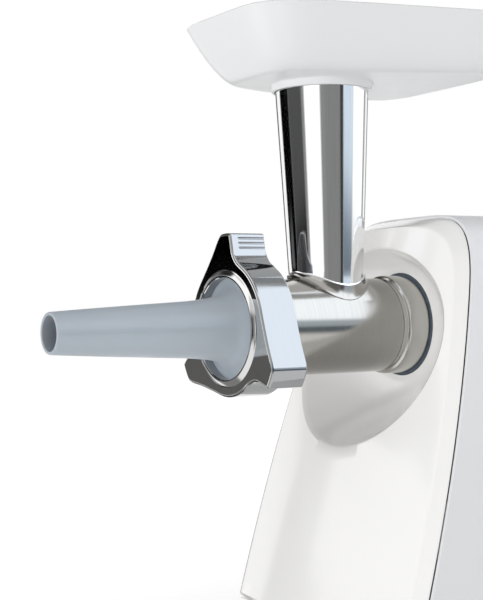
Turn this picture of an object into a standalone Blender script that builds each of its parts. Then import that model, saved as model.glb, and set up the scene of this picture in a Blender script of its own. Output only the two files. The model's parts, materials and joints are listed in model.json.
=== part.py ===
"""Electric meat grinder with a sausage filling nozzle, as separate working parts.

Shapes are written in millimetres around the drive axis: x to the side, depth back from the ring
nut's front face, and height up from the drive axis. make() turns them into metres, with the feet
at z = 0 and the depth centred between the nozzle's tip and the cord gland.
"""

import math

import bmesh
import bpy

MM = 0.001

# Whole machine
AXIS_HEIGHT = 157.0
NOZZLE_TIP = -95.0
GLAND_BACK = 237.5
MID_DEPTH = (NOZZLE_TIP + GLAND_BACK) / 2

# Gap left between pieces that touch on the real machine
GAP = 0.35

# Bore around a 3 mm shaft or pin, and the seat of a bush
SHAFT_HOLE = 3.4
BUSH_SEAT = 6.4

# Housing: seam plane between the front and rear shells, and the outline seen from the front
SEAM_DEPTH = 100.0
LEAN = 0.30
HOUSING_TOP = 56.0
HOUSING_BOTTOM = -152.0
BASE_HALF_WIDTH = 79.6
WAIST_DROP = 13.4
SHOULDER_POWER = 4.6
FACE_DEPTH = 84.0
FACE_BULGE = 12.0
EDGE_ROUND = 5.0
WALL = 2.5
REAR_PROUD = 1.2
REAR_DEPTH = 235.0
BASE_SCREWS = ((71.0, 98.0), (-71.0, 98.0), (71.0, 188.0), (-71.0, 188.0))
BOSS_INNER = 66.0
BOSS_OUTER = 79.0
BOSS_HALF = 4.6
FEET = ((58.0, 78.0), (-58.0, 78.0), (58.0, 208.0), (-58.0, 208.0))
GLAND_PLACE = (46.0, -136.0)
BASE_THICK = 2.8

# Recess around the socket
RECESS_X = 57.5
RECESS_Z = 51.5
RECESS_DROP = -11.0
RECESS_FLOOR = 109.4
SOCKET_HOLE = 27.8

# Grinder head
BARREL_FRONT = 8.4
BARREL_OUTER = 24.6
BARREL_INNER = 22.4
BARREL_BACK = 127.5
COLLAR_RADIUS = 25.95
COLLAR_DEPTH = 97.2
NECK_DEPTH = 108.8
NECK_RADIUS = 23.5
TUBE_DEPTH = 61.65
TUBE_TOP = 125.0
TUBE_TOP_RADIUS = 24.36
TUBE_TAPER = 0.0504
TUBE_WALL = 1.9

# Ring nut and nozzle
RING_RADIUS = 34.2
RING_LENGTH = 20.0
RING_MOUTH = 25.4
RING_THREAD = 27.6
RING_BEAD = 29.0
RING_PROUD = 1.2
LIP_LENGTH = 3.9
LOBE_ANGLES = (90.0, 210.0, 330.0)

# One lobe, as (across, out) from its middle line: a long slope, a blunt tip and a steep flank
SLOPE_FOOT = 47.0
SLOPE_BEND = (13.5, 35.2)
SLOPE_END = (6.6, 44.4)
LOBE_TIP = ((5.0, 46.8), (3.4, 47.2), (-5.2, 47.4), (-6.2, 46.9))
STEEP_START = (-8.2, 38.0)
STEEP_BEND = (-9.2, 33.9)
STEEP_FOOT = -26.4
FLANGE_DEPTH = 4.3

# Feed tray
TRAY_FRONT = -1.4
TRAY_HALF_LENGTH = 83.9
TRAY_HALF_WIDTH = 47.6
TRAY_SPREAD = 0.184
TRAY_POWER = 5.4
TRAY_RIM = 156.1
TRAY_FLOOR = 125.5
TRAY_SLOPE = 0.03
TRAY_INSET = 21.6
TRAY_CURVE = 1.55
TRAY_FOOT = 126.2
TRAY_WALL = 2.2
TRAY_HOLE = 22.6
COLLAR_BOTTOM = 121.8
PUSHER_FLANGE = 27.0

# Gear train: teeth, module and profile shift
WHEEL_TEETH = 72
PINION_TEETH = 12
FIRST_WHEEL_TEETH = 66
SECOND_MODULE = 1.25
FIRST_MODULE = 0.8
SHIFT = 0.3
PRESSURE = math.radians(20)
BACKLASH = 0.3
LAYSHAFT = -SECOND_MODULE * (WHEEL_TEETH + PINION_TEETH) / 2
MOTOR = LAYSHAFT - FIRST_MODULE * (FIRST_WHEEL_TEETH + PINION_TEETH) / 2

# Gear case: front and back of its bowl, its two lobes and its cover
CASE_FRONT = 133.0
CASE_BACK = 161.0
CASE_WALL = 2.4
CASE_UPPER = 49.5
CASE_LOWER = 36.0
CASE_DROP = -62.0
COVER_BACK = 164.4
POST_CIRCLE = 35.6

# Motor
STATOR_HALF = 34.0
STATOR_FRONT = 179.0
STATOR_BACK = 205.0
PILLAR_X = 26.0
PILLAR_RISE = 27.0
ROTOR_MIDDLE = 192.0

# Bayonet
LUG_ANGLES = (0.0, 120.0, 240.0)
UNLOCK_TURN = 45.0
LUG_HALF = 9.4
PIN_ANGLE = 137.0
PIN_RADIUS = 25.6
LUG_FRONT = 119.6
LUG_BACK = 123.6
LUG_REACH = 26.4
LEVER_FRONT = 127.8
LEVER_BACK = 129.4

# Controls
RELEASE_X = -43.7
RELEASE_Z = 36.6
RELEASE_RADIUS = 7.5
PANEL_DEPTH = 150.0
POWER_HEIGHT = -46.0
REVERSE_HEIGHT = -71.0
POWER_RADIUS = 9.0
REVERSE_RADIUS = 7.0

ROUND = 36
SMALL = 16


# ---------------------------------------------------------------- materials


def material(name, colour, roughness, metallic=0.0):
    """A Principled material, made once for each name."""
    found = bpy.data.materials.get(name)
    if found:
        return found
    made = bpy.data.materials.new(name)
    made.use_nodes = True
    shader = made.node_tree.nodes["Principled BSDF"]
    shader.inputs["Base Color"].default_value = (*colour, 1.0)
    shader.inputs["Roughness"].default_value = roughness
    shader.inputs["Metallic"].default_value = metallic
    return made


def gloss_white():
    return material("gloss_white", (0.87, 0.86, 0.85), 0.15)


def satin_white():
    return material("satin_white", (0.86, 0.87, 0.88), 0.4)


def shell_grey():
    return material("shell_grey", (0.78, 0.80, 0.83), 0.45)


def nozzle_grey():
    return material("nozzle_grey", (0.45, 0.51, 0.57), 0.4)


def chrome():
    return material("chrome", (0.75, 0.76, 0.78), 0.08, 1.0)


def satin_metal():
    return material("satin_metal", (0.62, 0.60, 0.58), 0.3, 1.0)


def steel():
    return material("steel", (0.55, 0.56, 0.58), 0.35, 1.0)


def brass():
    return material("brass", (0.70, 0.50, 0.22), 0.35, 1.0)


def copper():
    return material("copper", (0.60, 0.25, 0.12), 0.4, 1.0)


def rubber():
    return material("rubber", (0.10, 0.12, 0.15), 0.8)


def dark_plastic():
    return material("dark_plastic", (0.08, 0.09, 0.10), 0.5)


def gear_plastic():
    return material("gear_plastic", (0.75, 0.73, 0.66), 0.5)


# ---------------------------------------------------------------- making objects


def make(name, bm, finish, anchor=(0.0, 0.0, 0.0)):
    """One object from a mesh in millimetres, with its origin at anchor."""
    bmesh.ops.recalc_face_normals(bm, faces=bm.faces)
    if bm.calc_volume(signed=True) < 0:
        bmesh.ops.reverse_faces(bm, faces=bm.faces)
    for vert in bm.verts:
        vert.co = [(value - start) * MM for value, start in zip(vert.co, anchor)]
    mesh = bpy.data.meshes.new(name)
    bm.to_mesh(mesh)
    bm.free()
    mesh.shade_smooth()
    mesh.set_sharp_from_angle(angle=math.radians(32))
    mesh.materials.append(finish)
    made = bpy.data.objects.new(name, mesh)
    x, depth, height = anchor
    made.location = (x * MM, (depth - MID_DEPTH) * MM, (height + AXIS_HEIGHT) * MM)
    bpy.context.scene.collection.objects.link(made)
    return made


def boolean(target, bm, operation="DIFFERENCE"):
    """Cuts a mesh from the target, or joins it on, and hides the helper."""
    helper = make(f"{target.name}_helper", bm, target.data.materials[0])
    helper.hide_render = True
    helper.display_type = "WIRE"
    step = target.modifiers.new(operation.title(), "BOOLEAN")
    step.operation = operation
    step.solver = "EXACT"
    step.object = helper


def join_rings(bm, rings, closed=False):
    """A skin through rings of points: closed joins the last to the first, else both ends are capped."""
    count = len(rings[0])
    verts = [[bm.verts.new(point) for point in ring] for ring in rings]
    pairs = list(zip(verts, verts[1:]))
    if closed:
        pairs.append((verts[-1], verts[0]))
    else:
        bm.faces.new(verts[0])
        bm.faces.new(verts[-1])
    for low, high in pairs:
        for i in range(count):
            j = (i + 1) % count
            bm.faces.new((low[i], low[j], high[j], high[i]))


def rings_solid(rings, closed=False):
    bm = bmesh.new()
    join_rings(bm, rings, closed)
    return bm


def circle(radius, count, centre=(0.0, 0.0), start=0.0):
    """Points of a circle, anticlockwise, as (u, v)."""
    points = []
    for i in range(count):
        angle = math.radians(start) + math.tau * i / count
        u = centre[0] + radius * math.cos(angle)
        v = centre[1] + radius * math.sin(angle)
        points.append((u, v))
    return points


def polygon(sides, corner_radius, count, start=0.0):
    """Points along a regular polygon, one for each of count directions."""
    flat = corner_radius * math.cos(math.pi / sides)
    points = []
    for i in range(count):
        angle = math.tau * i / count
        away = (angle - math.radians(start)) % (math.tau / sides) - math.pi / sides
        reach = flat / math.cos(away)
        points.append((reach * math.cos(angle), reach * math.sin(angle)))
    return points


def placed(outline, along, axis):
    """An outline of (u, v) points put in space: u and v are the two directions across the axis."""
    if axis == "x":
        return [(along, u, v) for u, v in outline]
    if axis == "y":
        return [(u, along, v) for u, v in outline]
    return [(u, v, along) for u, v in outline]


def turned(profile, axis="y", centre=(0.0, 0.0), count=ROUND, closed=False):
    """A turned solid from (radius, along) points. closed makes it a ring with a bore."""
    rings = [placed(circle(r, count, centre), along, axis) for r, along in profile]
    return rings_solid(rings, closed)


def plate(loops, low, high, axis="y"):
    """A flat plate from an outline and its holes, from low to high along the axis."""
    bm = bmesh.new()
    edges = []
    for loop in loops:
        verts = [bm.verts.new(point) for point in placed(loop, low, axis)]
        for i, vert in enumerate(verts):
            edges.append(bm.edges.new((vert, verts[(i + 1) % len(verts)])))
    bmesh.ops.triangle_fill(bm, use_beauty=True, edges=edges)
    grown = bmesh.ops.extrude_face_region(bm, geom=bm.faces[:] + bm.edges[:] + bm.verts[:])
    shift = placed([(0.0, 0.0)], high - low, axis)[0]
    verts = [item for item in grown["geom"] if isinstance(item, bmesh.types.BMVert)]
    bmesh.ops.translate(bm, vec=shift, verts=verts)
    return bm


def box(bm, low, high):
    """Adds a closed box to a mesh."""
    outline = [(low[0], low[1]), (high[0], low[1]), (high[0], high[1]), (low[0], high[1])]
    join_rings(bm, [placed(outline, low[2], "z"), placed(outline, high[2], "z")])


def boxes(*corners):
    bm = bmesh.new()
    for low, high in corners:
        box(bm, low, high)
    return bm


def rectangle(u0, v0, u1, v1):
    return [(u0, v0), (u1, v0), (u1, v1), (u0, v1)]


def stadium(centre_u, low_v, high_v, radius, count=SMALL):
    """A slot outline that runs along v, with round ends."""
    half = count // 2
    points = []
    for end, first in ((high_v, 0.0), (low_v, math.pi)):
        for i in range(half + 1):
            angle = first + math.pi * i / half
            points.append((centre_u + radius * math.cos(angle), end + radius * math.sin(angle)))
    return points


def power(value, exponent):
    """A signed power, for superellipses."""
    return math.copysign(abs(value) ** exponent, value)


# ---------------------------------------------------------------- housing


def half_width(height):
    """Half the housing's width at a height above the drive axis."""
    lift = max(0.0, (height + 145.0) / 145.0)
    return BASE_HALF_WIDTH - WAIST_DROP * lift**2.2


def face_depth(x, height):
    """Depth of the front face, which leans back and curves away to both sides."""
    return FACE_DEPTH + LEAN * height + FACE_BULGE * (x / half_width(height)) ** 2


def seam_depth(height):
    return SEAM_DEPTH + LEAN * height


def housing_outline(inset):
    """The housing seen from the front, inset all round, as (x, height) from the lower right corner."""
    bottom = HOUSING_BOTTOM + inset
    right = []
    for step in range(5):
        height = bottom * (1 - step / 5)
        right.append((half_width(height) - inset, height))
    for step in range(9):
        angle = math.pi / 2 * step / 9
        height = (HOUSING_TOP - inset) * power(math.sin(angle), 2 / SHOULDER_POWER)
        right.append(((half_width(height) - inset) * power(math.cos(angle), 2 / SHOULDER_POWER), height))
    left = [(-x, height) for x, height in reversed(right)]
    base = [(right[0][0] * (step / 4 - 1), bottom) for step in range(1, 8)]
    return right + [(0.0, HOUSING_TOP - inset)] + left + base


def recess_point(x, height, grow):
    """Where the recess's edge lies in the direction of a point of the housing's outline."""
    angle = math.atan2(height - RECESS_DROP, x)
    across = (RECESS_X + grow) * math.cos(angle)
    return across, RECESS_DROP + (RECESS_Z + grow) * math.sin(angle)


def hole_point(x, height, radius):
    angle = math.atan2(height - RECESS_DROP, x)
    return radius * math.cos(angle), radius * math.sin(angle)


def between(first, second, share):
    return tuple(a + (b - a) * share for a, b in zip(first, second))


def front_skin(offset, corner, slope, dish):
    """Rings of the front shell's skin from the seam to the socket hole, moved inwards by offset.

    corner, slope and dish are how far along each of the three surfaces its rings lie.
    """
    rim = housing_outline(offset)
    rings = []
    for share in corner:
        ring = []
        for x, height in housing_outline(offset + EDGE_ROUND * share):
            seam = seam_depth(height)
            rise = math.sqrt(1 - (1 - share) ** 2)
            ring.append((x, seam - (seam - face_depth(x, height) - offset) * rise, height))
        rings.append(ring)
    inner = housing_outline(offset + EDGE_ROUND)
    for share in slope:
        ring = []
        for point in inner:
            x, height = between(point, recess_point(*point, offset), share)
            ring.append((x, face_depth(x, height) + offset, height))
        rings.append(ring)
    for share in dish:
        ring = []
        for point in rim:
            edge = recess_point(*point, offset)
            hole = hole_point(*point, SOCKET_HOLE)
            x, height = between(edge, hole, share)
            lip = face_depth(*edge) + offset
            depth = lip + (RECESS_FLOOR + offset - lip) * (1 - (1 - share) ** 2.2)
            ring.append((x, depth, height))
        rings.append(ring)
    return rings


def front_shell():
    outer = front_skin(0.0, (0.0, 0.14, 0.45, 1.0), (0.35, 0.7, 1.0), (0.12, 0.35, 0.7, 1.0))
    inner = front_skin(WALL, (0.0, 0.3, 1.0), (1.0,), (0.35, 1.0))
    rings = outer + list(reversed(inner))
    shell = make("front_shell", rings_solid(rings, closed=True), gloss_white())
    profile = [(RELEASE_RADIUS + 0.5, 70.0), (RELEASE_RADIUS + 0.5, 125.0)]
    boolean(shell, turned(profile, "y", (RELEASE_X, RELEASE_Z), 20))


def rear_solid(inset, first, last):
    """The rear shell's bulk with a rounded back edge."""
    rings = []
    for back, more in ((first - last, 0.0), (-26.0, 0.0), (-11.0, 2.5), (-3.0, 8.5), (0.0, 17.0)):
        outline = housing_outline(inset + more)
        rings.append([(x, last + back, max(height, HOUSING_BOTTOM)) for x, height in outline])
    return rings


def dropped(rings, height):
    """The same rings with their lower edge moved down, to cut through an open bottom."""
    low = HOUSING_BOTTOM + 20.0
    return [[(x, y, height if z < low else z) for x, y, z in ring] for ring in rings]


def rear_shell():
    outer = dropped(rear_solid(-REAR_PROUD, 30.0, REAR_DEPTH), HOUSING_BOTTOM)
    shell = make("rear_shell", rings_solid(outer), shell_grey())
    inner = dropped(rear_solid(WALL - REAR_PROUD, 20.0, REAR_DEPTH - WALL), HOUSING_BOTTOM - 8.0)
    boolean(shell, rings_solid(inner))
    corners = []
    for x, depth in BASE_SCREWS:
        low, high = sorted((math.copysign(BOSS_INNER, x), math.copysign(BOSS_OUTER, x)))
        corners.append(((low, depth - BOSS_HALF, -148.6), (high, depth + BOSS_HALF, -128.0)))
    boolean(shell, boxes(*corners), "UNION")
    low, high = -170.0, 80.0
    wedge = [(10.0, low), (seam_depth(low) + GAP, low), (seam_depth(high) + GAP, high), (10.0, high)]
    boolean(shell, plate([wedge], -100.0, 100.0, "x"))
    boolean(shell, rear_openings())


def rear_openings():
    """Vent slots, cord hole, control opening and screw holes of the rear shell."""
    bm = bmesh.new()
    for step in range(-3, 4):
        box(bm, (step * 11.0 - 2.0, 225.0, -128.0), (step * 11.0 + 2.0, 245.0, -86.0))
    join_rings(bm, [placed(circle(6.2, SMALL, GLAND_PLACE), y, "y") for y in (222.0, 245.0)])
    slot = stadium(PANEL_DEPTH, REVERSE_HEIGHT - 1.0, POWER_HEIGHT + 1.0, 12.5)
    join_rings(bm, [placed(slot, 62.0, "x"), placed(slot, 95.0, "x")])
    for x, depth in BASE_SCREWS:
        join_rings(bm, [placed(circle(1.9, 8, (x, depth)), z, "z") for z in (-160.0, -134.0)])
    return bm


def base_plate():
    side = half_width(HOUSING_BOTTOM) - WALL + REAR_PROUD - GAP - 0.3
    front = seam_depth(HOUSING_BOTTOM) + 2.0
    back = REAR_DEPTH - WALL - 4.0
    corner = 22.0
    outline = [(-side, front), (side, front)]
    for start, centre in ((0.0, side - corner), (90.0, corner - side)):
        for step in range(5):
            angle = math.radians(start + 22.5 * step)
            outline.append((centre + corner * math.cos(angle), back - corner + corner * math.sin(angle)))
    loops = [outline]
    for place in BASE_SCREWS:
        loops.append(circle(2.0, 10, place))
    for place in FEET:
        loops.append(circle(3.4, 10, place))
    for step in range(-4, 5):
        loops.append(rectangle(step * 9.0 - 2.0, 165.0, step * 9.0 + 2.0, 205.0))
    bm = plate(loops, HOUSING_BOTTOM, HOUSING_BOTTOM + BASE_THICK, "z")
    make("base_plate", bm, dark_plastic())


def feet():
    top = HOUSING_BOTTOM
    profile = [(8.0, -AXIS_HEIGHT), (9.0, top - 1.5), (9.0, top - GAP), (3.0, top - GAP), (3.0, top + 4.0)]
    for number, place in enumerate(FEET, 1):
        make(f"foot_{number}", turned(profile, "z", place, SMALL), rubber(), (*place, -AXIS_HEIGHT))


def base_screws():
    head = HOUSING_BOTTOM - GAP
    profile = [(2.6, head - 1.8), (3.4, head - 1.2), (3.4, head), (1.5, head), (1.5, -136.0)]
    for number, place in enumerate(BASE_SCREWS, 1):
        make(f"base_screw_{number}", turned(profile, "z", place, 10), steel(), (*place, head))


def seal_ring():
    profile = [(27.0, 109.2), (27.0, 111.2), (24.0, 111.2), (24.0, 109.2)]
    make("seal_ring", turned(profile, closed=True), rubber())


def sector(radius_in, radius_out, middle, half, steps=3):
    """A closed sector of a ring, as (u, v) points."""
    points = []
    for radius, sign in ((radius_out, 1), (radius_in, -1)):
        for step in range(steps + 1):
            angle = math.radians(middle + sign * half * (2 * step / steps - 1))
            points.append((radius * math.cos(angle), radius * math.sin(angle)))
    return points


def socket_ring():
    """The bayonet socket: a lip with three gaps in front of an open groove."""
    profile = [(24.2, 112.2), (33.0, 112.2), (33.0, 124.0)]
    profile += [(38.5, 124.0), (38.5, 127.4), (24.2, 127.4), (24.2, 125.4), (27.2, 125.4)]
    profile += [(27.2, 119.0), (24.2, 119.0)]
    ring = make("socket_ring", turned(profile, closed=True), dark_plastic())
    cuts = bmesh.new()
    for angle in LUG_ANGLES:
        gap = sector(20.0, 27.4, angle + UNLOCK_TURN, LUG_HALF + 3.0)
        join_rings(cuts, [placed(gap, 105.0, "y"), placed(gap, 122.0, "y")])
    pin = circle(2.4, 10, pin_place())
    join_rings(cuts, [placed(pin, 123.0, "y"), placed(pin, 131.0, "y")])
    boolean(ring, cuts)


def pin_place():
    angle = math.radians(PIN_ANGLE)
    return PIN_RADIUS * math.cos(angle), PIN_RADIUS * math.sin(angle)


# ---------------------------------------------------------------- gear case and motor


def hull_outline(margin):
    """The gear case's outline around the output gear above and the layshaft gear below."""
    upper, lower = CASE_UPPER - margin, CASE_LOWER - margin
    touch = math.asin((upper - lower) / CASE_DROP)
    points = []
    for step in range(15):
        angle = touch + (math.pi - 2 * touch) * step / 14
        points.append((upper * math.cos(angle), upper * math.sin(angle)))
    for step in range(11):
        angle = math.pi - touch + (math.pi + 2 * touch) * step / 10
        points.append((lower * math.cos(angle), CASE_DROP + lower * math.sin(angle)))
    return points


def gear_case():
    outer, inner = hull_outline(0.0), hull_outline(CASE_WALL)
    rings = [placed(outer, CASE_FRONT, "y"), placed(outer, CASE_BACK, "y")]
    rings += [placed(inner, CASE_BACK, "y"), placed(inner, CASE_FRONT + CASE_WALL, "y")]
    case = make("gear_case", rings_solid(rings), dark_plastic())
    posts = bmesh.new()
    for angle in (20.0, 160.0, 270.0):
        turn = math.radians(angle)
        centre = (POST_CIRCLE * math.cos(turn), POST_CIRCLE * math.sin(turn))
        join_rings(posts, [placed(circle(2.6, 10, centre), y, "y") for y in (127.4 + GAP, 134.0)])
    boolean(case, posts, "UNION")
    boolean(case, turned([(12.3, 125.0), (12.3, 136.5)], count=24))
    boolean(case, turned([(SHAFT_HOLE, 130.0), (SHAFT_HOLE, 137.0)], centre=(0.0, LAYSHAFT), count=12))


def gear_cover():
    """The case's back wall, with two pillars that carry the motor."""
    loops = [hull_outline(0.0), circle(6.5, 20), circle(BUSH_SEAT, 20, (0.0, MOTOR))]
    loops.append(circle(SHAFT_HOLE, 12, (0.0, LAYSHAFT)))
    cover = make("gear_cover", plate(loops, CASE_BACK + GAP, COVER_BACK), dark_plastic())
    pillars = bmesh.new()
    for x in (-PILLAR_X, PILLAR_X):
        outline = circle(3.2, 10, (x, MOTOR + PILLAR_RISE))
        join_rings(pillars, [placed(outline, y, "y") for y in (163.0, STATOR_FRONT - GAP)])
    boolean(cover, pillars, "UNION")


def output_bush():
    profile = [(9.4, 131.2), (14.0, 131.2), (14.0, 132.6), (12.0, 132.6), (12.0, 136.4), (9.4, 136.4)]
    make("output_bush", turned(profile, count=24, closed=True), brass())


def layshaft_pin():
    bm = turned([(3.0, CASE_FRONT), (3.0, COVER_BACK)], centre=(0.0, LAYSHAFT), count=12)
    make("layshaft_pin", bm, steel(), (0.0, CASE_FRONT, LAYSHAFT))


def stator_core():
    bore, window, rise = 22.2, 28.0, 16.6
    outline = []
    for x, z in ((1, 1), (-1, 1), (-1, -1), (1, -1)):
        short, long = STATOR_HALF - 7.0, STATOR_HALF
        corners = [(x * long, z * short), (x * short, z * long)]
        outline += corners if x == z else reversed(corners)
    inner = []
    for first, side in ((50.0, -1), (230.0, 1)):
        for step in range(7):
            angle = math.radians(first + 80.0 * step / 6)
            inner.append((bore * math.cos(angle), bore * math.sin(angle)))
        inner.append((side * window, -side * rise))
        inner.append((side * window, side * rise))
    loops = [[(x, z + MOTOR) for x, z in loop] for loop in (outline, inner)]
    make("stator_core", plate(loops, STATOR_FRONT, STATOR_BACK), steel(), (0.0, STATOR_FRONT, MOTOR))


def field_coils():
    for name, low, high in (("field_coil_upper", 4.0, 15.8), ("field_coil_lower", -15.8, -4.0)):
        loops = [rectangle(-27.4, 171.5, 27.4, 212.5), rectangle(-22.8, 177.0, 22.8, 207.0)]
        make(name, plate(loops, MOTOR + low, MOTOR + high, "z"), copper(), (0.0, ROTOR_MIDDLE, MOTOR))


def motor_bracket():
    inner, outer, front, back = 29.0, 33.4, STATOR_BACK + GAP, 228.5
    outline = [(-outer, front), (-inner, front), (-inner, 225.0), (inner, 225.0)]
    outline += [(inner, front), (outer, front), (outer, back), (-outer, back)]
    bracket = make("motor_bracket", plate([outline], MOTOR - 9.0, MOTOR + 9.0, "z"), steel())
    boolean(bracket, turned([(BUSH_SEAT, 220.0), (BUSH_SEAT, 233.0)], centre=(0.0, MOTOR), count=20))


def rotor_bushes():
    for name, front, back in (("rotor_bush_front", 160.8, 164.8), ("rotor_bush_rear", 224.4, 229.0)):
        profile = [(SHAFT_HOLE, front), (6.0, front), (6.0, back), (SHAFT_HOLE, back)]
        bm = turned(profile, centre=(0.0, MOTOR), count=20, closed=True)
        make(name, bm, brass(), (0.0, front, MOTOR))


def brushes():
    """A brass holder with a carbon brush on each side of the commutator."""
    for side, sign in (("left", -1), ("right", 1)):
        outer = rectangle(213.2, MOTOR - 4.4, 222.8, MOTOR + 4.4)
        inner = rectangle(214.2, MOTOR - 3.4, 221.8, MOTOR + 3.4)
        holder = plate([outer, inner], *sorted((sign * 13.0, sign * 28.6)), "x")
        make(f"brush_holder_{side}", holder, brass())
        carbon = rectangle(214.6, MOTOR - 3.0, 221.4, MOTOR + 3.0)
        brush = plate([carbon], *sorted((sign * 11.5, sign * 22.0)), "x")
        make(f"carbon_brush_{side}", brush, dark_plastic())


def rotor():
    anchor = (0.0, ROTOR_MIDDLE, MOTOR)
    centre = (0.0, MOTOR)
    shaft = turned([(2.5, 150.0), (3.0, 150.6), (3.0, 230.5)], centre=centre, count=12)
    make("rotor_shaft", shaft, steel(), anchor)
    core = [(3.3, 178.0), (21.2, 178.0), (21.2, 206.0), (3.3, 206.0)]
    make("rotor_core", turned(core, centre=centre, count=24, closed=True), steel(), anchor)
    commutator = [(3.3, 214.0), (11.0, 214.0), (11.0, 222.5), (3.3, 222.5)]
    make("commutator", turned(commutator, centre=centre, count=20, closed=True), copper(), anchor)


def cooling_fan():
    outline = []
    for blade in range(9):
        for reach, turn in ((11.0, 0.0), (29.0, 5.0), (29.5, 23.0), (11.0, 24.0)):
            angle = math.radians(blade * 40.0 + turn)
            outline.append((reach * math.cos(angle), MOTOR + reach * math.sin(angle)))
    loops = [outline, circle(3.3, 12, (0.0, MOTOR))]
    make("cooling_fan", plate(loops, 166.0, 170.6), dark_plastic(), (0.0, ROTOR_MIDDLE, MOTOR))


# ---------------------------------------------------------------- gears


def involute(radius, base):
    """The involute angle at a radius, and 0 inside the base circle."""
    if radius <= base:
        return 0.0
    angle = math.acos(base / radius)
    return math.tan(angle) - angle


def gear_outline(teeth, module, shift, phase, centre, steps):
    """A spur gear with a tooth centred on the phase angle, in degrees."""
    pitch = module * teeth / 2
    base = pitch * math.cos(PRESSURE)
    thick = module * (math.pi / 2 + 2 * shift * math.tan(PRESSURE)) - BACKLASH
    root = pitch - module * (1.3 - shift)
    tip = pitch + module * (0.95 + shift)
    whole = thick / (2 * pitch) + involute(pitch, base)
    flank = [root + (tip - root) * step / steps for step in range(steps + 1)]
    half = [(radius, whole - involute(radius, base)) for radius in flank]
    points = []
    for tooth in range(teeth):
        middle = math.radians(phase) + math.tau * tooth / teeth
        for radius, away in half:
            points.append((radius, middle - away))
        for radius, away in reversed(half):
            points.append((radius, middle + away))
    return [(centre[0] + r * math.cos(a), centre[1] + r * math.sin(a)) for r, a in points]


def gear(name, shape, bore, span, finish):
    """A gear from (teeth, module, shift, phase, height of its axis, steps along a flank)."""
    teeth, module, shift, phase, height, steps = shape
    outline = gear_outline(teeth, module, shift, phase, (0.0, height), steps)
    loops = [outline, circle(bore, 14, (0.0, height))]
    make(name, plate(loops, *span), finish, (0.0, span[0], height))


def gears():
    """Each wheel has a tooth pointing down, where the pinion below has a gap pointing up."""
    up = 90.0 + 180.0 / PINION_TEETH
    wheel = (WHEEL_TEETH, SECOND_MODULE, -SHIFT, -90.0, 0.0, 1)
    gear("output_gear", wheel, 8.4, (139.0, 149.0), gear_plastic())
    pinion = (PINION_TEETH, SECOND_MODULE, SHIFT, up, LAYSHAFT, 4)
    gear("layshaft_pinion", pinion, SHAFT_HOLE, (138.0, 150.2), steel())
    first = (FIRST_WHEEL_TEETH, FIRST_MODULE, -SHIFT, -90.0, LAYSHAFT, 1)
    gear("layshaft_gear", first, SHAFT_HOLE, (150.6, 157.0), gear_plastic())
    motor = (PINION_TEETH, FIRST_MODULE, SHIFT, up, MOTOR, 3)
    gear("motor_pinion", motor, 3.3, (151.0, 158.6), brass())


# ---------------------------------------------------------------- drive and cutting parts


def output_shaft():
    profile = [(15.0, 117.0), (15.0, 129.0), (9.1, 129.6), (9.1, 137.6), (8.0, 137.6)]
    profile += [(8.0, 150.0), (6.1, 150.0), (6.1, 163.5)]
    shaft = make("output_shaft", turned(profile, count=24), steel())
    rings = [placed(polygon(6, 8.9, 12), y, "y") for y in (110.0, 127.6)]
    boolean(shaft, rings_solid(rings))


def auger():
    """A tapered core with a square seat for the knife, a hexagonal tail and one long flight."""
    count = 24
    square = polygon(4, 8.2, count, 45.0)
    hexagon = polygon(6, 8.2, count)
    sections = [(circle(4.6, count), 9.4), (circle(4.6, count), 13.5), (square, 13.5), (square, 19.2)]
    sections += [(circle(9.0, count), 19.2), (circle(9.6, count), 60.0), (circle(10.7, count), 106.0)]
    sections += [(circle(10.7, count), 113.6), (hexagon, 113.6), (hexagon, 127.0)]
    rings = [placed(outline, depth, "y") for outline, depth in sections]
    core = make("auger", rings_solid(rings), satin_metal())
    boolean(core, flight(), "UNION")


def flight():
    """The auger's helical flight, thinner towards its edge."""
    pitch, front, turns, steps = 26.0, 22.5, 3.1, 20
    rings = []
    for step in range(int(turns * steps) + 1):
        angle = math.tau * step / steps
        depth = front + pitch * step / steps
        section = ((6.5, -2.8), (21.7, -1.1), (21.7, 1.1), (6.5, 2.8))
        ring = [(r * math.cos(angle), depth + along, -r * math.sin(angle)) for r, along in section]
        rings.append(ring)
    return rings_solid(rings)


def knife():
    outline = []
    for arm in range(4):
        angle = math.pi / 2 * arm
        for out, side in ((8.6, -5.4), (21.0, -3.8), (21.4, 2.4), (8.6, 4.4)):
            x = out * math.cos(angle) - side * math.sin(angle)
            outline.append((x, out * math.sin(angle) + side * math.cos(angle)))
    half = 6.15
    make("knife", plate([outline, rectangle(-half, -half, half, half)], 13.9, 18.8), steel())


def perforated_disc():
    loops = [circle(24.4, ROUND), circle(5.0, 12)]
    for radius, number in ((11.4, 6), (19.2, 12)):
        loops += [circle(3.2, 8, place) for place in circle(radius, number)]
    make("perforated_disc", plate(loops, BARREL_FRONT + 0.4, 13.1), steel())


# ---------------------------------------------------------------- grinder head


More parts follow.
